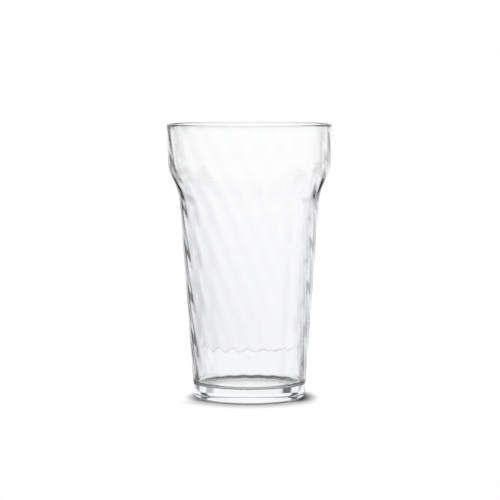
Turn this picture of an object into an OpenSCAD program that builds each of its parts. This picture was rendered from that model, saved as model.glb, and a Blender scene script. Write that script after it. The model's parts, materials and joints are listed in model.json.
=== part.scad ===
// Pint glass with a collar, a stepped shoulder and spiral optic ribs.
// Millimetres, Z up. The origin is on the table, at the centre of the foot.
// The outside is turned. The inside carries shallow ribs that wind round it as they fall.

/* [Overall] */
// Height from the table to the top of the rim
height = 153; // [126:1:184]
// Outside diameter at the rim
rim_d = 91.7; // [76:0.1:112]
// Outside diameter of the body at the table, before the heel is rounded
base_d = 61.4; // [51:0.1:75]

/* [Collar and shoulder] */
// Height of the collar, from the rim to the shoulder's upper corner
collar_h = 25.4; // [20:0.1:31]
// How far the collar's wall leans in as it falls, in degrees
collar_lean = 2.2; // [0:0.1:4]
// Height of the shoulder, from its upper corner to its lower one
shoulder_h = 13; // [10.5:0.5:18]
// How far the shoulder steps in on each side
shoulder_step = 5.9; // [4.5:0.1:7.5]
// Radius that rounds the shoulder's upper corner
shoulder_r = 21; // [15:1:31]
// Radius that rounds the hollow under the shoulder
waist_r = 30; // [20:1:40]

/* [Foot] */
// Radius of the outer heel between the wall and the foot
heel_r = 3.4; // [1:0.1:5]
// Width of the flat ring that stands on the table
ring_w = 3; // [1.5:0.1:5]
// Height of the hollow under the foot
punt_h = 1.6; // [0.5:0.1:3]
// Width of the slope from the ring up into the hollow
punt_slope_w = 3; // [1:0.1:5]
// Radius that rounds the top of that slope
punt_r = 3; // [1:0.1:6]

/* [Walls] */
// Wall at the rim
rim_wall = 2; // [1.6:0.1:3]
// Mean wall at the hollow under the shoulder
waist_wall = 2.3; // [1.9:0.1:3.4]
// Mean wall just above the floor
foot_wall = 3.1; // [2.4:0.1:4.5]
// Glass under the floor, from the table
floor_h = 8.4; // [6:0.1:12]
// Radius where the floor turns up into the wall
floor_r = 3; // [2:0.1:7]
// Radius of the rim's outer edge
lip_outer_r = 0.9; // [0.4:0.05:0.9]
// Radius of the rim's inner edge
lip_inner_r = 0.8; // [0.4:0.05:0.9]

/* [Spiral ribs] */
// Number of ribs round the inside
rib_count = 22; // [8:1:26]
// Height of a rib above the hollow beside it, at the shoulder's lower corner
rib_depth = 0.1; // [0.05:0.01:1]
// Height of a rib where it reaches the rim
rib_depth_rim = 0.07; // [0.02:0.01:0.6]
// Height of a rib low on the wall
rib_depth_low = 0.05; // [0.02:0.01:1]
// Height of a rib where it meets the floor
rib_depth_floor = 0.02; // [0.01:0.01:0.5]
// Height over which the ribs rise out of the floor
rib_rise = 12; // [6:1:40]
// Turn of each rib from the table to the rim, in degrees
rib_turn = 104; // [0:1:180]

/* [Hidden] */

$fn = 96;
arc_steps = 8;
steps_per_rib = 6;
// Steps of the inside's rings up the floor's corner, the body, the shoulder and the collar
floor_steps = 5;
body_steps = 9;
shoulder_steps = 9;
collar_steps = 4;
// Angles at which the rim's inner edge has a ring. The cut runs on at the last one.
lip_angles = [30, 60];
// How far the cut runs above the rim
clear_h = 4;

base_r = base_d / 2;
rim_r = rim_d / 2;
around = rib_count * steps_per_rib;

// Corners of the outside, each as [radius, height]
rim_corner = [rim_r, height];
upper_corner = [rim_r - collar_h * tan(collar_lean), height - collar_h];
lower_corner = upper_corner - [shoulder_step, shoulder_h];
heel_corner = [base_r, 0];
ring_corner = [base_r - heel_r - ring_w, 0];
punt_corner = ring_corner + [-punt_slope_w, punt_h];

function unit(v) = v / norm(v);

// Half the angle between the two sides that meet at a corner
function half_angle(a, corner, b) = acos(unit(a - corner) * unit(b - corner)) / 2;

// Length from a corner to where its rounding starts, at most half of either side
function run_in(a, corner, b, r) =
    min(r / tan(half_angle(a, corner, b)), norm(a - corner) / 2, norm(b - corner) / 2);

// Points of the arc that rounds a corner between a and b
function rounded(a, corner, b, r) =
    let (
        half = half_angle(a, corner, b),
        run = run_in(a, corner, b, r),
        fit_r = run * tan(half),
        start = corner + unit(a - corner) * run,
        end = corner + unit(b - corner) * run,
        centre = corner + unit(unit(a - corner) + unit(b - corner)) * run / cos(half),
        from = atan2(start.y - centre.y, start.x - centre.x),
        to = atan2(end.y - centre.y, end.x - centre.x),
        sweep = (to - from + 540) % 360 - 180
    )
    [for (i = [0:arc_steps])
        let (angle = from + sweep * i / arc_steps)
        centre + fit_r * [cos(angle), sin(angle)]];

// The outside from the rim's top down to the hollow under the foot
side_line = concat(
    rounded([0, height], rim_corner, upper_corner, lip_outer_r),
    rounded(rim_corner, upper_corner, lower_corner, shoulder_r),
    rounded(upper_corner, lower_corner, heel_corner, waist_r),
    rounded(lower_corner, heel_corner, [0, 0], heel_r)
);
punt_line = rounded(ring_corner, punt_corner, [0, punt_h], punt_r);

// Outside radius at a height, from the side line above the heel
wall_heights = [for (i = [len(side_line) - 1:-1:0]) [side_line[i].y, side_line[i].x]];
function outer_r(z) = lookup(min(z, height - lip_outer_r), wall_heights);

// Mean inside radius at a height
function wall_at(z) =
    lookup(z, [[floor_h, foot_wall], [lower_corner.y, waist_wall], [height, rim_wall]]);
function inner_r(z) = outer_r(z) - wall_at(z);

// Height of the ribs at a height
function rib_at(z) =
    lookup(z, [
        [floor_h, rib_depth_floor],
        [floor_h + rib_rise, rib_depth_low],
        [lower_corner.y, rib_depth],
        [height, rib_depth_rim]
    ]);

// Rings of the inside from the floor to above the rim, each as [height, radius]
floor_top = floor_h + floor_r;
shoulder_low = lower_corner.y - run_in(upper_corner, lower_corner, heel_corner, waist_r);
shoulder_high = upper_corner.y + run_in(rim_corner, upper_corner, lower_corner, shoulder_r);
lip_z = height - lip_inner_r;
function stepped(low, high, steps) =
    [for (i = [1:steps]) let (z = low + (high - low) * i / steps) [z, inner_r(z)]];
floor_rings = [for (i = [0:floor_steps])
    let (angle = 90 * i / floor_steps)
    [floor_top - floor_r * cos(angle), inner_r(floor_top) - floor_r * (1 - sin(angle))]];
lip_rings = [for (angle = lip_angles)
    [lip_z + lip_inner_r * sin(angle), inner_r(lip_z) + lip_inner_r * (1 - cos(angle))]];
lip_end = lip_rings[len(lip_rings) - 1];
rings = concat(
    floor_rings,
    stepped(floor_top, shoulder_low, body_steps),
    stepped(shoulder_low, shoulder_high, shoulder_steps),
    stepped(shoulder_high, lip_z, collar_steps),
    lip_rings,
    [lip_end + clear_h * [1, tan(lip_angles[len(lip_angles) - 1])]]
);

// One point of the ribbed inside. The columns of points wind with the ribs.
function rib_point(ring, column) =
    let (
        z = ring.x,
        wave = (1 - cos(360 * column / steps_per_rib)) / 2,
        r = ring.y - rib_at(z) * wave,
        a = 360 * column / around - rib_turn * z / height
    )
    [r * cos(a), r * sin(a), z];

// The space inside the glass
module ribbed_space() {
    last = len(rings) - 1;
    points = concat(
        [for (ring = rings) for (c = [0:around - 1]) rib_point(ring, c)],
        [[0, 0, rings[0].x], [0, 0, rings[last].x]]
    );
    floor_mid = len(points) - 2;
    top_mid = len(points) - 1;
    walls = [for (i = [0:last - 1]) for (c = [0:around - 1])
        let (
            a = i * around + c,
            b = i * around + (c + 1) % around
        )
        each [[a, a + around, b], [b, a + around, b + around]]];
    caps = [for (c = [0:around - 1])
        let (n = (c + 1) % around)
        each [[floor_mid, c, n], [top_mid, last * around + n, last * around + c]]];
    polyhedron(points, concat(walls, caps));
}

// The solid glass before its inside is taken out
module turned_blank() {
    rotate_extrude()
        polygon(concat([[0, height]], side_line, [ring_corner], punt_line, [[0, punt_h]]));
}

// The whole glass: one piece, with its collar, shoulder, body and thick foot
module glass_body() {
    color([0.84, 0.92, 0.94, 0.45])
        difference() {
            turned_blank();
            ribbed_space();
        }
}

glass_body();
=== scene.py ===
"""Looks for the pint glass: one turned body with winding ribs, its glass, and a white studio."""

from __future__ import annotations

import json
import logging
import math
from bisect import bisect_right
from dataclasses import dataclass
from enum import Enum

import bpy
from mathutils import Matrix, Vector

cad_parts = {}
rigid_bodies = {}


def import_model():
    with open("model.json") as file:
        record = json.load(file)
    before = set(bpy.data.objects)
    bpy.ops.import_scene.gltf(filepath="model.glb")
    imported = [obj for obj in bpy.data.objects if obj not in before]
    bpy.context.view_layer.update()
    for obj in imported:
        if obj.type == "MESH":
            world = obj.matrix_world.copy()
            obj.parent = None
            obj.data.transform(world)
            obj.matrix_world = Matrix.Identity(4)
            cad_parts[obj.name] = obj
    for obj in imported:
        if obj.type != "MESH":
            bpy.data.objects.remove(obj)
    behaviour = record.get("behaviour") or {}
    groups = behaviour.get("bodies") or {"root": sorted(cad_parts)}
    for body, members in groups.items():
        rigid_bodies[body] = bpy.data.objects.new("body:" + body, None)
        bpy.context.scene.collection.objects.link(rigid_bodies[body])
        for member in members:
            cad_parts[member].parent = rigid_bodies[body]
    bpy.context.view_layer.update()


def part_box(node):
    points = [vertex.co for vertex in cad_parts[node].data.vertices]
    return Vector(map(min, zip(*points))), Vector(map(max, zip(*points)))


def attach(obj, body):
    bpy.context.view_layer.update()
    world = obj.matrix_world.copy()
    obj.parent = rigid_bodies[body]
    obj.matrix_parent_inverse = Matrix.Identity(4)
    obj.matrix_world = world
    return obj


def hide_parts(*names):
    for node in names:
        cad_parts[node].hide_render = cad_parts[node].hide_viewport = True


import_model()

LOG = logging.getLogger("pint_glass")
MM = 0.001
# Degrees in a radian
DEGREES = 180 / math.pi
# Points nearer than this are one
MERGE = MM / 1000
GLASS_NODE = "glass_body"
WHITE = (1.0, 1.0, 1.0, 1.0)

Point = tuple[float, float]
Feeds = dict[str | int, object]
Colour = tuple[float, float, float, float]
Place = tuple[float, float, float]
Span = tuple[float, float, float, float]


class Winding(Enum):
    """Which way the ribs turn as they rise, seen from above."""

    CLOCKWISE = -1
    ANTICLOCKWISE = 1


def deselect_all() -> None:
    """Leave nothing selected and nothing active."""
    for item in bpy.context.view_layer.objects:
        item.select_set(False)
    bpy.context.view_layer.objects.active = None


def make_active(item: bpy.types.Object) -> None:
    """Select one object alone and make it the active one.

    Args:
        item: The object.
    """
    deselect_all()
    item.select_set(True)
    bpy.context.view_layer.objects.active = item


def apply_modifiers(item: bpy.types.Object) -> None:
    """Apply every modifier of one object, in order.

    Args:
        item: The object.
    """
    make_active(item)
    for name in [modifier.name for modifier in item.modifiers]:
        bpy.ops.object.modifier_apply(modifier=name)


def add_node(tree: bpy.types.NodeTree, kind: str, feeds: Feeds, **choices: object) -> bpy.types.Node:
    """Add a node to a tree, make its choices and feed its sockets.

    Args:
        tree: The tree that takes the node.
        kind: The node's type.
        feeds: A value or an output socket for each input, by the input's name or number.
        choices: The node's own settings.

    Returns:
        The node.
    """
    node = tree.nodes.new(kind)
    for name, choice in choices.items():
        setattr(node, name, choice)
    for place, feed in feeds.items():
        if isinstance(feed, bpy.types.NodeSocket):
            tree.links.new(feed, node.inputs[place])
        else:
            node.inputs[place].default_value = feed
    return node


def add_math(tree: bpy.types.NodeTree, operation: str, *feeds: object) -> bpy.types.NodeSocket:
    """Add a Math node fed in order.

    Args:
        tree: The tree that takes the node.
        operation: What the node works out.
        feeds: A value or an output socket for each input.

    Returns:
        The node's output.
    """
    node = add_node(tree, "ShaderNodeMath", dict(enumerate(feeds)), operation=operation)
    return node.outputs[0]


def add_step(
    tree: bpy.types.NodeTree, value: bpy.types.NodeSocket, low: float, high: float
) -> bpy.types.NodeSocket:
    """Add a smooth step that rises from 0 at low to 1 at high, or falls where high is below low.

    Args:
        tree: The tree that takes the node.
        value: What the step reads.
        low: Where the step is 0.
        high: Where the step is 1.

    Returns:
        The step.
    """
    feeds = {"Value": value, "From Min": low, "From Max": high}
    node = add_node(tree, "ShaderNodeMapRange", feeds, interpolation_type="SMOOTHSTEP")
    return node.outputs["Result"]


def add_vector(tree: bpy.types.NodeTree, operation: str, *feeds: object) -> bpy.types.Node:
    """Add a Vector Math node fed in order.

    Args:
        tree: The tree that takes the node.
        operation: What the node works out.
        feeds: A vector or an output socket for each input.

    Returns:
        The node.
    """
    return add_node(tree, "ShaderNodeVectorMath", dict(enumerate(feeds)), operation=operation)


def add_mix(
    tree: bpy.types.NodeTree, blend: str, share: object, a: object, b: object
) -> bpy.types.NodeSocket:
    """Add a Mix node for colours.

    Args:
        tree: The tree that takes the node.
        blend: The kind of blend.
        share: How much of it, from 0 to 1.
        a: The first colour.
        b: The second colour.

    Returns:
        The mixed colour.
    """
    node = tree.nodes.new("ShaderNodeMix")
    node.data_type = "RGBA"
    node.blend_type = blend
    for name, feed in (("Factor_Float", share), ("A_Color", a), ("B_Color", b)):
        socket = next(socket for socket in node.inputs if socket.identifier == name)
        if isinstance(feed, bpy.types.NodeSocket):
            tree.links.new(feed, socket)
        else:
            socket.default_value = feed
    return next(socket for socket in node.outputs if socket.identifier == "Result_Color")


class Curve:
    """A straight-line curve through knots, held level past either end."""

    def __init__(self, knots: list[Point]) -> None:
        """Keep the knots.

        Args:
            knots: The curve's knots as (where, height), in rising order.
        """
        self.places = [place for place, _ in knots]
        self.heights = [height for _, height in knots]

    def at(self, place: float) -> float:
        """Read the curve.

        Args:
            place: Where to read it.

        Returns:
            The height of the curve there.
        """
        after = bisect_right(self.places, place)
        if after == 0:
            return self.heights[0]
        if after == len(self.places):
            return self.heights[-1]
        low, high = self.places[after - 1], self.places[after]
        share = (place - low) / (high - low)
        return self.heights[after - 1] * (1 - share) + self.heights[after] * share


def rounded(before: Point, corner: Point, after: Point, radius: float, steps: int) -> list[Point]:
    """Round one corner of a profile with an arc.

    Args:
        before: The profile's point before the corner.
        corner: The corner.
        after: The profile's point after the corner.
        radius: Radius of the arc.
        steps: Number of straight pieces in the arc.

    Returns:
        The arc's points, in the profile's order.
    """
    here = Vector(corner)
    to_a = (Vector(before) - here).normalized()
    to_b = (Vector(after) - here).normalized()
    half = to_a.angle(to_b) / 2
    run = radius / math.tan(half)
    centre = here + (to_a + to_b).normalized() * run / math.cos(half)
    start = here + to_a * run - centre
    end = here + to_b * run - centre
    first = math.atan2(start.y, start.x)
    sweep = (math.atan2(end.y, end.x) - first + 3 * math.pi) % (2 * math.pi) - math.pi
    angles = [first + sweep * i / steps for i in range(steps + 1)]
    return [(centre.x + radius * math.cos(a), centre.y + radius * math.sin(a)) for a in angles]


def divided(line: list[Point], step: float) -> list[Point]:
    """Add points to a profile so that none of its pieces is longer than a step.

    Args:
        line: The profile's points.
        step: Longest piece that may be left.

    Returns:
        The profile with the added points.
    """
    full = [line[0]]
    for a, b in zip(line, line[1:]):
        pieces = max(1, math.ceil(math.dist(a, b) / step))
        full += [
            (a[0] + (b[0] - a[0]) * i / pieces, a[1] + (b[1] - a[1]) * i / pieces)
            for i in range(1, pieces + 1)
        ]
    return full


@dataclass
class GlassBody:
    """The glass itself: one turned wall and foot, with ribs that wind round the inside."""

    # The outside, from the rim down to the heel
    height: float
    rim_r: float = 45.85 * MM
    base_r: float = 30.7 * MM
    collar_h: float = 25.4 * MM
    collar_lean: float = math.radians(2.2)
    shoulder_h: float = 13 * MM
    shoulder_step: float = 5.9 * MM
    shoulder_r: float = 21 * MM
    waist_r: float = 30 * MM
    heel_r: float = 3.4 * MM
    # The flat ring that stands on the table, and the hollow inside it
    ring_w: float = 3 * MM
    ring_edge_r: float = 0.6 * MM
    punt_h: float = 1.6 * MM
    punt_slope_w: float = 3 * MM
    punt_r: float = 3 * MM
    # The wall, the floor and the rounding of the lip
    rim_wall: float = 2 * MM
    waist_wall: float = 2.3 * MM
    foot_wall: float = 3.1 * MM
    floor_h: float = 8.4 * MM
    floor_r: float = 3 * MM
    lip_r: float = 0.95 * MM
    # The ribs, whose depth is their height above the hollow beside them
    rib_count: int = 22
    rib_depth: float = 0.1 * MM
    rib_depth_rim: float = 0.07 * MM
    rib_depth_low: float = 0.05 * MM
    rib_depth_floor: float = 0.02 * MM
    rib_rise: float = 12 * MM
    rib_turn: float = math.radians(104)
    winding: Winding = Winding.CLOCKWISE
    # How fine the mesh is
    steps_per_rib: int = 14
    arc_steps: int = 10
    inside_step: float = 1.2 * MM
    outside_step: float = 4 * MM
    foot_step: float = 2.5 * MM

    def corners(self) -> list[Point]:
        """Work out the corners of the outside.

        Returns:
            The corners, as (radius, height), from the rim down to the table.
        """
        upper = (self.rim_r - self.collar_h * math.tan(self.collar_lean), self.height - self.collar_h)
        lower = (upper[0] - self.shoulder_step, upper[1] - self.shoulder_h)
        return [(self.rim_r, self.height), upper, lower, (self.base_r, 0.0)]

    def side(self) -> list[Point]:
        """Work out the outside wall.

        Returns:
            Its points, as (radius, height), from the heel up to the rim's top edge.
        """
        rim, upper, lower, heel = self.corners()
        steps = self.arc_steps
        ring_outer = (heel[0] - self.heel_r - self.ring_w / 2, 0.0)
        return (
            rounded(ring_outer, heel, lower, self.heel_r, steps)
            + rounded(heel, lower, upper, self.waist_r, steps)
            + rounded(lower, upper, rim, self.shoulder_r, steps)
            + rounded(upper, rim, (0.0, self.height), self.lip_r, steps)
        )

    def foot_line(self) -> list[Point]:
        """Work out the underside.

        Returns:
            Its points, as (radius, height), from its centre out to the ring that stands on the table.
        """
        ring_inner = (self.base_r - self.heel_r - self.ring_w, 0.0)
        slope_top = (ring_inner[0] - self.punt_slope_w, self.punt_h)
        centre = (0.0, self.punt_h)
        return (
            [centre]
            + rounded(centre, slope_top, ring_inner, self.punt_r, self.arc_steps)
            + rounded(slope_top, ring_inner, (self.base_r, 0.0), self.ring_edge_r, self.arc_steps // 2)
        )

    def inside_line(self) -> list[Point]:
        """Work out the inside.

        Returns:
            Its points, as (radius, height), from the rim's top down to the centre of the floor.
        """
        top_z = self.height - self.lip_r
        low_z = self.floor_h + self.floor_r
        outer = Curve([(z, r) for r, z in self.side() if z <= top_z])
        wall = self.wall_curve()
        top_r = outer.at(top_z) - wall.at(top_z)
        low_r = outer.at(low_z) - wall.at(low_z)
        quarter = [math.pi / 2 * i / self.arc_steps for i in range(self.arc_steps + 1)]
        lip = [
            (top_r + self.lip_r * (1 - math.cos(a)), top_z + self.lip_r * math.sin(a))
            for a in reversed(quarter[1:])
        ]
        count = math.ceil((top_z - low_z) / self.inside_step)
        heights = [top_z + (low_z - top_z) * i / count for i in range(count + 1)]
        sides = [(outer.at(z) - wall.at(z), z) for z in heights]
        corner = [
            (low_r - self.floor_r * (1 - math.cos(a)), low_z - self.floor_r * math.sin(a))
            for a in quarter[1:]
        ]
        floor = divided([corner[-1], (0.0, self.floor_h)], self.foot_step)[1:]
        return lip + sides + corner + floor

    def waist_z(self) -> float:
        """Height of the shoulder's lower corner."""
        return self.corners()[2][1]

    def wall_curve(self) -> Curve:
        """Work out the mean wall against height.

        Returns:
            The curve.
        """
        return Curve([
            (self.floor_h, self.foot_wall),
            (self.waist_z(), self.waist_wall),
            (self.height, self.rim_wall),
        ])

    def rib_curve(self) -> Curve:
        """Work out the ribs' height against height on the wall.

        Returns:
            The curve.
        """
        return Curve([
            (self.floor_h, self.rib_depth_floor),
            (self.floor_h + self.rib_rise, self.rib_depth_low),
            (self.waist_z(), self.rib_depth),
            (self.height - self.lip_r, self.rib_depth_rim),
            (self.height, 0.0),
        ])

    def build(self) -> bpy.types.Object:
        """Turn the profile, raise the ribs on the inside and wind them round.

        Returns:
            The finished glass.
        """
        outside = divided(self.foot_line(), self.foot_step) + divided(self.side(), self.outside_step)
        inside = self.inside_line()
        glass = self.drawn(outside + inside)
        ribs = glass.vertex_groups.new(name="ribs")
        rib_height = self.rib_curve()
        for step, (r, z) in enumerate(inside):
            share = rib_height.at(z) / self.rib_depth * min(1.0, r / self.base_r)
            ribs.add([len(outside) + step], share, "REPLACE")
        self.spin(glass)
        self.raise_ribs(glass, ribs)
        self.wind(glass)
        bpy.ops.object.shade_smooth()
        return glass

    def drawn(self, line: list[Point]) -> bpy.types.Object:
        """Draw the profile as a chain of edges.

        Args:
            line: The profile's points, as (radius, height).

        Returns:
            The chain, whose points keep the line's order.
        """
        deselect_all()
        bpy.ops.mesh.primitive_plane_add(size=MM, location=(0, 0, 0))
        glass = bpy.context.object
        glass.name = glass.data.name = "clear_glass_body"
        bpy.ops.object.mode_set(mode="EDIT")
        bpy.ops.mesh.select_all(action="SELECT")
        bpy.ops.mesh.merge(type="CENTER")
        bpy.ops.transform.translate(value=(line[0][0], 0, line[0][1]))
        for (r0, z0), (r1, z1) in zip(line, line[1:]):
            bpy.ops.mesh.extrude_region_move(TRANSFORM_OT_translate={"value": (r1 - r0, 0, z1 - z0)})
        bpy.ops.object.mode_set(mode="OBJECT")
        return glass

    def spin(self, glass: bpy.types.Object) -> None:
        """Spin the profile once round the axis and close it into a solid.

        Args:
            glass: The chain of edges.
        """
        make_active(glass)
        bpy.ops.object.mode_set(mode="EDIT")
        bpy.ops.mesh.select_all(action="SELECT")
        around = self.rib_count * self.steps_per_rib
        bpy.ops.mesh.spin(steps=around, angle=2 * math.pi, center=(0, 0, 0), axis=(0, 0, 1))
        bpy.ops.mesh.select_all(action="SELECT")
        bpy.ops.mesh.remove_doubles(threshold=MERGE)
        bpy.ops.mesh.normals_make_consistent(inside=False)
        bpy.ops.object.mode_set(mode="OBJECT")

    def raise_ribs(self, glass: bpy.types.Object, ribs: bpy.types.VertexGroup) -> None:
        """Push the inside in along straight, soft lobes.

        Args:
            glass: The turned body.
            ribs: The group that holds each point's share of the ribs' height.
        """
        for vertex in glass.data.vertices:
            if not vertex.groups:
                continue
            lobe = (1 - math.cos(self.rib_count * math.atan2(vertex.co.y, vertex.co.x))) / 2
            ribs.add([vertex.index], lobe * vertex.groups[0].weight, "REPLACE")
        push = glass.modifiers.new("ribs", "DISPLACE")
        push.vertex_group = ribs.name
        push.direction = "NORMAL"
        push.mid_level = 0.0
        push.strength = self.rib_depth
        apply_modifiers(glass)
        glass.vertex_groups.clear()

    def wind(self, glass: bpy.types.Object) -> None:
        """Twist the body, so that the ribs wind round it as they fall.

        Args:
            glass: The body with its straight ribs.
        """
        twist = glass.modifiers.new("wind", "SIMPLE_DEFORM")
        twist.deform_method = "TWIST"
        twist.deform_axis = "Z"
        twist.angle = self.winding.value * self.rib_turn
        apply_modifiers(glass)


@dataclass(frozen=True)
class ClearGlass:
    """Clear soda-lime glass: fire-polished, faintly wavy, with a few seeds and a foot ring dulled by use."""

    ior: float = 1.517
    tint: Colour = (0.91, 0.94, 0.965, 1.0)
    density: float = 7.0
    # Slow waves of the surface
    wave_scale: float = 55.0
    wave_detail: float = 0.0
    wave_depth: float = 0.01 * MM
    # Seeds: the size of one in its cell, and the share of cells without one
    seed_scale: float = 85.0
    seed_size: Point = (0.055, 0.03)
    seed_share: Point = (0.93, 0.94)
    seed_depth: float = 0.12 * MM
    # Wear: the heights between which it sets in, and how patchy it is
    wear_height: Point = (0.25 * MM, 0.05 * MM)
    wear_scale: float = 900.0
    wear_detail: float = 4.0
    wear_from: Point = (0.35, 0.75)
    wear_roughness: float = 0.35

    def material(self) -> bpy.types.Material:
        """Make the material.

        Returns:
            The material.
        """
        made = bpy.data.materials.new("clear_glass")
        made.use_nodes = True
        tree = made.node_tree
        shader = tree.nodes["Principled BSDF"]
        shader.inputs["Base Color"].default_value = WHITE
        shader.inputs["Transmission Weight"].default_value = 1.0
        shader.inputs["IOR"].default_value = self.ior
        place = add_node(tree, "ShaderNodeTexCoord", {}).outputs["Object"]
        tree.links.new(self.wear(tree, place), shader.inputs["Roughness"])
        tree.links.new(self.skin(tree, place), shader.inputs["Normal"])
        depth = add_node(tree, "ShaderNodeVolumeAbsorption", {"Color": self.tint, "Density": self.density})
        tree.links.new(depth.outputs["Volume"], tree.nodes["Material Output"].inputs["Volume"])
        return made

    def wear(self, tree: bpy.types.NodeTree, place: bpy.types.NodeSocket) -> bpy.types.NodeSocket:
        """Add the fine scuffs of the ring that stands on the table.

        Args:
            tree: The material.
            place: Where on the glass.

        Returns:
            The roughness.
        """
        split = add_node(tree, "ShaderNodeSeparateXYZ", {0: place})
        low = add_step(tree, split.outputs["Z"], *self.wear_height)
        feeds = {"Vector": place, "Scale": self.wear_scale, "Detail": self.wear_detail}
        scuffs = add_node(tree, "ShaderNodeTexNoise", feeds)
        scuffs = add_step(tree, scuffs.outputs["Fac"], *self.wear_from)
        return add_math(tree, "MULTIPLY", add_math(tree, "MULTIPLY", low, scuffs), self.wear_roughness)

    def skin(self, tree: bpy.types.NodeTree, place: bpy.types.NodeSocket) -> bpy.types.NodeSocket:
        """Add the faint waves of the drawn surface and the seeds, which are tiny bubbles at the skin.

        Args:
            tree: The material.
            place: Where on the glass.

        Returns:
            The surface normal.
        """
        feeds = {"Vector": place, "Scale": self.wave_scale, "Detail": self.wave_detail}
        waves = add_node(tree, "ShaderNodeTexNoise", feeds)
        feeds = {"Height": waves.outputs["Fac"], "Distance": self.wave_depth, "Strength": 1.0}
        waved = add_node(tree, "ShaderNodeBump", feeds).outputs["Normal"]
        cells = add_node(tree, "ShaderNodeTexVoronoi", {"Vector": place, "Scale": self.seed_scale})
        chosen = add_node(tree, "ShaderNodeSeparateXYZ", {0: cells.outputs["Color"]})
        seeds = add_math(
            tree,
            "MULTIPLY",
            add_step(tree, cells.outputs["Distance"], *self.seed_size),
            add_step(tree, chosen.outputs["X"], *self.seed_share),
        )
        feeds = {"Height": seeds, "Distance": self.seed_depth, "Strength": 1.0, "Normal": waved}
        return add_node(tree, "ShaderNodeBump", feeds).outputs["Normal"]


@dataclass(frozen=True)
class DarkFlags:
    """Dark upright flags that stand on both sides of each of four white windows."""

    windows: int = 4
    # Degrees from a window's middle at which a flag starts, is full, starts to fade and ends
    left: Span = (23, 29, 35, 40)
    right: Span = (26, 32, 37, 41)

    def group(self) -> bpy.types.NodeTree:
        """Make the group that gives how dark the flags are in each level direction.

        Returns:
            The group, whose Left is the angle to the left of the nearest window, in degrees.
        """
        tree = bpy.data.node_groups.new("dark_flags", "ShaderNodeTree")
        tree.interface.new_socket("Direction", in_out="INPUT", socket_type="NodeSocketVector")
        for name in ("Left", "Left Flag", "Right Flag"):
            tree.interface.new_socket(name, in_out="OUTPUT", socket_type="NodeSocketFloat")
        start = tree.nodes.new("NodeGroupInput")
        end = tree.nodes.new("NodeGroupOutput")
        split = add_node(tree, "ShaderNodeSeparateXYZ", {0: start.outputs["Direction"]})
        turn = add_math(tree, "ARCTAN2", split.outputs["Y"], split.outputs["X"])
        half = math.pi / self.windows
        left = add_math(tree, "WRAP", turn, half, -half)
        left = add_math(tree, "MULTIPLY", left, DEGREES)
        right = add_math(tree, "MULTIPLY", left, -1.0)
        tree.links.new(left, end.inputs["Left"])
        for name, side, (a, b, c, d) in (("Left Flag", left, self.left), ("Right Flag", right, self.right)):
            flag = add_math(tree, "MULTIPLY", add_step(tree, side, a, b), add_step(tree, side, d, c))
            tree.links.new(flag, end.inputs[name])
        return tree


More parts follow.
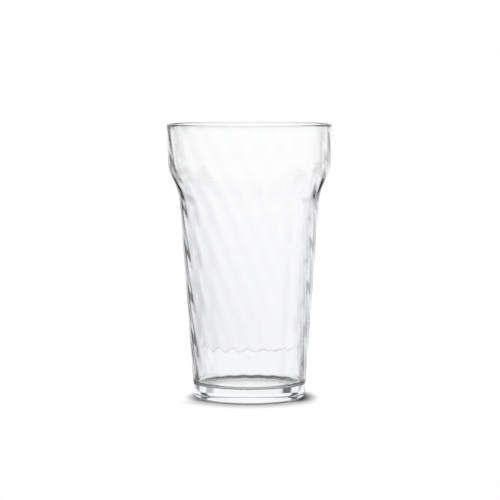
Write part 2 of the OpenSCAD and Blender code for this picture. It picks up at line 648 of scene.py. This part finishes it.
@dataclass(frozen=True)
class WhiteTable:
    """The white table top, with a painted soft shadow round the foot and a painted patch of light as if
    coming down through the floor.
    """

    flags: bpy.types.NodeTree
    reach: float = 213 * MM
    sides: int = 128
    # Brightness and tone through the glass, and brightness where it is seen directly
    level: float = 0.92
    open_level: float = 1.05
    cool: Colour = (0.985, 0.99, 1.0, 1.0)
    # Where the table is open towards the flags: distance out, and degrees from a window's middle
    gap_start: Point = (42 * MM, 62 * MM)
    gap_angle: Point = (14, 21)
    # The patch painted as lit through the floor, and the faint painted curls of light in it
    lit_foot: Point = (20 * MM, 24 * MM)
    lit_middle: Place = (0, 4 * MM, 0)
    curl_scale: float = 38.0
    curl_bend: float = 9.0
    curl_detail: float = 1.0
    curl_sharpness: float = 4.0
    curl_depth: float = 0.13
    # The painted shadow beside the foot, in front of it and right under it
    shadow_edge: Point = (39.7 * MM, 27.7 * MM)
    shadow_middle: Place = (1.3 * MM, 4 * MM, 0)
    shadow_scale: Place = (1, 1 / 1.3, 1)
    shadow_depth: float = 0.96
    front_edge: Point = (50 * MM, 22 * MM)
    front_start: Point = (5 * MM, 24 * MM)
    front_depth: float = 0.6
    contact_edge: Point = (29 * MM, 26 * MM)

    def build(self) -> None:
        """Lay the table top."""
        deselect_all()
        bpy.ops.mesh.primitive_circle_add(
            vertices=self.sides, radius=self.reach, fill_type="NGON", location=(0, 0, 0)
        )
        top = bpy.context.object
        top.name = "table"
        top.data.materials.append(self.material())

    def material(self) -> bpy.types.Material:
        """Make the material: an even white less the foot's painted shadow, left open towards the flags.

        Returns:
            The material.
        """
        made = bpy.data.materials.new("white_table")
        made.use_nodes = True
        tree = made.node_tree
        tree.nodes.remove(tree.nodes["Principled BSDF"])
        place = add_node(tree, "ShaderNodeTexCoord", {}).outputs["Object"]
        path = add_node(tree, "ShaderNodeLightPath", {})
        shown = path.outputs["Is Camera Ray"]
        flags = add_node(tree, "ShaderNodeGroup", {"Direction": place}, node_tree=self.flags)
        away = add_vector(tree, "LENGTH", place).outputs["Value"]
        aside = add_math(tree, "ABSOLUTE", flags.outputs["Left"])
        far = add_step(tree, away, *self.gap_start)
        gap = add_math(tree, "MULTIPLY", far, add_step(tree, aside, *self.gap_angle))
        gap = add_math(tree, "MULTIPLY", gap, add_math(tree, "SUBTRACT", 1.0, shown))
        light = self.shadow(tree, place, away)
        strength = add_node(tree, "ShaderNodeMix", {"Factor": shown, "A": self.level, "B": self.open_level})
        light = add_math(tree, "MULTIPLY", light, strength.outputs["Result"])
        tone = add_mix(tree, "MIX", shown, self.cool, WHITE)
        glow = add_node(tree, "ShaderNodeEmission", {"Color": tone, "Strength": light})
        clear = add_node(tree, "ShaderNodeBsdfTransparent", {})
        table = add_node(tree, "ShaderNodeMixShader", {0: gap, 1: glow.outputs[0], 2: clear.outputs[0]})
        tree.links.new(table.outputs[0], tree.nodes["Material Output"].inputs["Surface"])
        return made

    def shadow(
        self, tree: bpy.types.NodeTree, place: bpy.types.NodeSocket, away: bpy.types.NodeSocket
    ) -> bpy.types.NodeSocket:
        """Add the foot's painted shadow, which is longest towards the front.

        Args:
            tree: The table's material.
            place: Where on the table.
            away: How far that is from the middle of the foot.

        Returns:
            How much of the light is left, from 0 to 1.
        """
        # Painted shadow: an oval dark patch beside the foot, a longer one in front, and dark right under the
        # foot
        shifted = add_vector(tree, "SUBTRACT", place, self.shadow_middle).outputs["Vector"]
        oval = add_vector(tree, "MULTIPLY", shifted, self.shadow_scale).outputs["Vector"]
        beside = add_vector(tree, "LENGTH", oval).outputs["Value"]
        side = add_math(tree, "MULTIPLY", add_step(tree, beside, *self.shadow_edge), self.shadow_depth)
        front = add_math(tree, "MULTIPLY", add_step(tree, away, *self.front_edge), self.front_depth)
        split = add_node(tree, "ShaderNodeSeparateXYZ", {0: place})
        forward = add_math(tree, "MULTIPLY", split.outputs["Y"], -1.0)
        forward = add_step(tree, forward, *self.front_start)
        dark = add_node(tree, "ShaderNodeMix", {"Factor": forward, "A": side, "B": front})
        contact = add_math(tree, "MULTIPLY", add_step(tree, away, *self.contact_edge), self.shadow_depth)
        dark = add_math(tree, "MAXIMUM", dark.outputs["Result"], contact)
        # Painted light: the shadow is left out in a round patch under the foot, as if lit through the floor
        middle = add_vector(tree, "SUBTRACT", place, self.lit_middle).outputs["Vector"]
        under = add_step(tree, add_vector(tree, "LENGTH", middle).outputs["Value"], *self.lit_foot)
        dark = add_math(tree, "MULTIPLY", dark, under)
        dark = add_math(tree, "MAXIMUM", dark, self.curls(tree, place, under))
        return add_math(tree, "SUBTRACT", 1.0, dark)

    def curls(
        self, tree: bpy.types.NodeTree, place: bpy.types.NodeSocket, under: bpy.types.NodeSocket
    ) -> bpy.types.NodeSocket:
        """Add the faint painted curls of light that the ribs throw under the foot.

        Args:
            tree: The table's material.
            place: Where on the table.
            under: 0 in the painted patch of light under the floor, and 1 outside it.

        Returns:
            How much of the light the curls take, from 0 to 1.
        """
        feeds = {
            "Vector": place,
            "Scale": self.curl_scale,
            "Distortion": self.curl_bend,
            "Detail": self.curl_detail,
        }
        # Painted curls of light and shade, only inside the painted lit patch
        bands = add_node(tree, "ShaderNodeTexWave", feeds, bands_direction="Y")
        thin = add_math(tree, "POWER", bands.outputs["Fac"], self.curl_sharpness)
        lit = add_math(tree, "SUBTRACT", 1.0, under)
        return add_math(tree, "MULTIPLY", add_math(tree, "MULTIPLY", thin, lit), self.curl_depth)


@dataclass(frozen=True)
class TableEdge:
    """The fine line of painted shade along the table's far edge, a grey glowing strip which shows only
    through the glass.
    """

    back: float
    shade: float = 0.66
    width: float = 200 * MM
    rise: float = 0.7 * MM

    def build(self) -> None:
        """Make the line and hide it from a direct look."""
        deselect_all()
        bpy.ops.mesh.primitive_cube_add(size=1, location=(0, self.back, self.rise / 2))
        edge = bpy.context.object
        edge.name = "table_edge"
        edge.scale = (self.width, self.rise, self.rise)
        bpy.ops.object.transform_apply(location=True, scale=True)
        paint = bpy.data.materials.new("table_edge")
        paint.use_nodes = True
        tree = paint.node_tree
        tone = (self.shade, self.shade, self.shade, 1)
        # The edge's shade is painted as a flat grey glow
        dull = add_node(tree, "ShaderNodeEmission", {"Color": tone})
        tree.links.new(dull.outputs[0], tree.nodes["Material Output"].inputs["Surface"])
        edge.data.materials.append(paint)
        edge.visible_camera = False
        edge.visible_diffuse = False
        edge.visible_glossy = False
        edge.visible_shadow = False


@dataclass
class Studio:
    """White table, soft surround and the camera.

    An angle is in degrees from a window's middle. A rise is the sine of the angle above level.
    """

    # The flags below level: how dark each is, and the rises between which they end at the foot
    left_strength: float = 0.95
    right_strength: float = 0.55
    flag_foot: Point = (-0.345, -0.31)
    # The light that is left on any flag, and how far towards the front the flags fade out
    flag_level: float = 0.04
    front_clear: Point = (0.12, 0.5)
    # The wide flags lower down, which leave only a narrow window
    wide_angle: Point = (8, 16)
    wide_rise: Point = (-0.15, -0.21)
    # The soft slanting shade to a window's left
    soft: Point = (2, 17)
    soft_dim: float = 0.16
    # The flags above level, and the rise over which they take over
    high_window: Point = (36, 41)
    high_rise: Point = (0.0, 0.04)
    # The dark top, which fades out towards the front
    top: Point = (0.35, 0.5)
    top_level: float = 0.08
    top_back: Point = (-0.4, 0.1)
    # The tone of all that is below level
    low_tone: Colour = (0.915, 0.918, 0.938, 1.0)
    low_from: Point = (-0.02, -0.12)
    # The camera
    camera_distance: float = 1.422
    camera_height: float = 0.1921
    camera_side: float = 0.33 * MM
    lens: float = 184.7
    aim_height: float = 82.9 * MM

    def build(self) -> None:
        """Make the table, the surround and the camera."""
        flags = DarkFlags().group()
        table = WhiteTable(flags)
        table.build()
        TableEdge(back=table.reach).build()
        self.make_surround(flags)
        self.make_camera()

    def make_surround(self, flags: bpy.types.NodeTree) -> None:
        """Light the scene softly from all round, with a white window and dark flags each quarter turn.

        Args:
            flags: The group that places the flags.
        """
        world = bpy.data.worlds.new("studio")
        bpy.context.scene.world = world
        world.use_nodes = True
        tree = world.node_tree
        where = add_node(tree, "ShaderNodeTexCoord", {}).outputs["Generated"]
        split = add_node(tree, "ShaderNodeSeparateXYZ", {0: where})
        rise = split.outputs["Z"]
        wall = add_node(tree, "ShaderNodeGroup", {"Direction": where}, node_tree=flags)
        high_flags = add_step(tree, add_math(tree, "ABSOLUTE", wall.outputs["Left"]), *self.high_window)
        above = add_step(tree, rise, *self.high_rise)
        feeds = {"Factor": above, "A": self.low_flags(tree, wall, rise), "B": high_flags}
        kept = add_node(tree, "ShaderNodeMix", feeds)
        front = add_math(tree, "MULTIPLY", split.outputs["Y"], -1.0)
        front = add_math(tree, "SUBTRACT", 1.0, add_step(tree, front, *self.front_clear))
        dark = add_math(tree, "MULTIPLY", kept.outputs["Result"], 1 - self.flag_level)
        dark = add_math(tree, "MULTIPLY", dark, front)
        level = add_math(tree, "SUBTRACT", 1.0, dark)
        level = add_math(tree, "MULTIPLY", level, self.under_top(tree, split))
        tone = add_mix(tree, "MIX", add_step(tree, rise, *self.low_from), WHITE, self.low_tone)
        colour = add_mix(tree, "MULTIPLY", 1.0, tone, level)
        path = add_node(tree, "ShaderNodeLightPath", {})
        plain = add_math(tree, "MAXIMUM", path.outputs["Is Camera Ray"], path.outputs["Is Diffuse Ray"])
        colour = add_mix(tree, "MIX", plain, colour, WHITE)
        tree.links.new(colour, tree.nodes["Background"].inputs["Color"])
        tree.nodes["Background"].inputs["Strength"].default_value = 1.0

    def low_flags(
        self, tree: bpy.types.NodeTree, wall: bpy.types.Node, rise: bpy.types.NodeSocket
    ) -> bpy.types.NodeSocket:
        """Add the flags below level, the wide flags under them and the soft shade.

        Args:
            tree: The world's nodes.
            wall: The group that places the flags.
            rise: How high the direction points.

        Returns:
            How dark it is there, from 0 to 1.
        """
        left = add_math(tree, "MULTIPLY", wall.outputs["Left Flag"], self.left_strength)
        right = add_math(tree, "MULTIPLY", wall.outputs["Right Flag"], self.right_strength)
        dark = add_math(tree, "ADD", left, right)
        down = add_math(tree, "MULTIPLY", rise, -DEGREES)
        slant = add_step(tree, add_math(tree, "ADD", wall.outputs["Left"], down), *self.soft)
        dark = add_math(tree, "MAXIMUM", dark, add_math(tree, "MULTIPLY", slant, self.soft_dim))
        wide = add_step(tree, add_math(tree, "ABSOLUTE", wall.outputs["Left"]), *self.wide_angle)
        wide = add_math(tree, "MULTIPLY", wide, add_step(tree, rise, *self.wide_rise))
        dark = add_math(tree, "MAXIMUM", dark, wide)
        return add_math(tree, "MULTIPLY", dark, add_step(tree, rise, *self.flag_foot))

    def under_top(self, tree: bpy.types.NodeTree, split: bpy.types.Node) -> bpy.types.NodeSocket:
        """Add the dark top.

        Args:
            tree: The world's nodes.
            split: The direction's three parts.

        Returns:
            How much light the top leaves, from 0 to 1.
        """
        back = add_step(tree, split.outputs["Y"], *self.top_back)
        top = add_math(tree, "MULTIPLY", add_step(tree, split.outputs["Z"], *self.top), back)
        return add_math(tree, "SUBTRACT", 1.0, add_math(tree, "MULTIPLY", top, 1 - self.top_level))

    def make_camera(self) -> None:
        """Set the camera a little above the rim, looking slightly down."""
        deselect_all()
        place = (self.camera_side, -self.camera_distance, self.camera_height)
        bpy.ops.object.camera_add(location=place)
        camera = bpy.context.object
        camera.data.lens = self.lens
        aim = Vector((self.camera_side, 0, self.aim_height)) - camera.location
        camera.rotation_euler = aim.to_track_quat("-Z", "Y").to_euler()
        bpy.context.scene.camera = camera


def main() -> None:
    """Build the glass and the studio."""
    logging.basicConfig(level=logging.INFO, format="%(name)s: %(message)s")
    bpy.context.scene.view_settings.view_transform = "Standard"
    Studio().build()
    low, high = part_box(GLASS_NODE)
    body = GlassBody(height=high.z - low.z)
    glass = body.build()
    glass.data.materials.append(ClearGlass().material())
    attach(glass, "root")
    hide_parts(GLASS_NODE)
    LOG.info("%s: %d faces", glass.name, len(glass.data.polygons))


if __name__ == "__main__":
    main()
